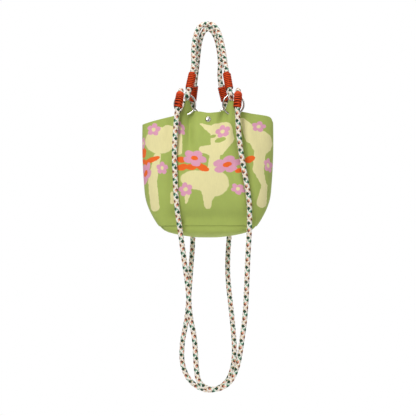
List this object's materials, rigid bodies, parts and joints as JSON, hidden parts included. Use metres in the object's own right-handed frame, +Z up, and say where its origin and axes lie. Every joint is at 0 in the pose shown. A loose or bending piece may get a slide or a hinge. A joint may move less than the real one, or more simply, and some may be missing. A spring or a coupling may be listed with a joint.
{
  "type": "rope-handled cloth picking bag",
  "caption": "Soft boxed-base cloth picking bag with rope handles and long rope straps looped through metal rings and bound with cord whippings.",
  "frame": {"origin": "hang point: the underside of the rear handle's apex, where both handles rest on one hook", "axes": "+X along the mouth to the right seen from the front, -Y faces the front, +Z up"},
  "size_m": [0.222, 0.1117, 0.6382],
  "materials": {
    "printed_cloth": "matte woven cotton with a printed flower pattern",
    "lining_cloth": "matte plain weave",
    "seam_thread": "matte thread",
    "snap_metal": "polished nickel",
    "ring_metal": "polished nickel",
    "rope": "matte braided cord in white, peach, mint and dark green",
    "whipping_cord": "satin wound cord"
  },
  "bodies": {
    "bag": {"front_panel": "printed_cloth", "rear_panel": "printed_cloth", "base_panel": "printed_cloth", "base_seam": "seam_thread", "lining": "lining_cloth", "left_side_seam": "seam_thread", "right_side_seam": "seam_thread", "snap_front_cap": "snap_metal", "snap_rear_cap": "snap_metal", "snap_socket": "snap_metal", "snap_stud": "snap_metal", "front_left_eyelet": "seam_thread", "front_right_eyelet": "seam_thread", "rear_left_eyelet": "seam_thread", "rear_right_eyelet": "seam_thread"},
    "front_handle": {"front_handle_rope": "rope", "front_left_handle_whipping": "whipping_cord", "front_right_handle_whipping": "whipping_cord"},
    "front_strap": {"front_strap_rope": "rope", "front_left_strap_whipping": "whipping_cord", "front_right_strap_whipping": "whipping_cord"},
    "front_left_ring": {"front_left_ring": "ring_metal"},
    "front_right_ring": {"front_right_ring": "ring_metal"},
    "rear_handle": {"rear_handle_rope": "rope", "rear_left_handle_whipping": "whipping_cord", "rear_right_handle_whipping": "whipping_cord"},
    "rear_strap": {"rear_strap_rope": "rope", "rear_left_strap_whipping": "whipping_cord", "rear_right_strap_whipping": "whipping_cord"},
    "rear_left_ring": {"rear_left_ring": "ring_metal"},
    "rear_right_ring": {"rear_right_ring": "ring_metal"}
  },
  "joints": [
    {"name": "front_handle_swing", "type": "hinge", "parent": "bag", "child": "front_handle", "pos_m": [0, -0.024, -0.10829], "axis": [1, 0, 0], "range_deg": [0, 90]},
    {"name": "rear_handle_swing", "type": "hinge", "parent": "bag", "child": "rear_handle", "pos_m": [0, 0.024, -0.12529], "axis": [-1, 0, 0], "range_deg": [0, 90]},
    {"name": "front_strap_swing", "type": "hinge", "parent": "bag", "child": "front_strap", "pos_m": [0, -0.024, -0.10924], "axis": [-1, 0, 0], "range_deg": [0, 150]},
    {"name": "rear_strap_swing", "type": "hinge", "parent": "bag", "child": "rear_strap", "pos_m": [0, 0.024, -0.12654], "axis": [1, 0, 0], "range_deg": [0, 150]},
    {"name": "front_left_ring_spin", "type": "hinge", "parent": "bag", "child": "front_left_ring", "pos_m": [-0.0396, -0.024, -0.125], "axis": [0, 1, 0], "continuous": true},
    {"name": "front_right_ring_spin", "type": "hinge", "parent": "bag", "child": "front_right_ring", "pos_m": [0.042, -0.024, -0.125], "axis": [0, 1, 0], "continuous": true},
    {"name": "rear_left_ring_spin", "type": "hinge", "parent": "bag", "child": "rear_left_ring", "pos_m": [-0.0338, 0.024, -0.142], "axis": [0, 1, 0], "continuous": true},
    {"name": "rear_right_ring_spin", "type": "hinge", "parent": "bag", "child": "rear_right_ring", "pos_m": [0.0362, 0.024, -0.142], "axis": [0, 1, 0], "continuous": true}
  ]
}
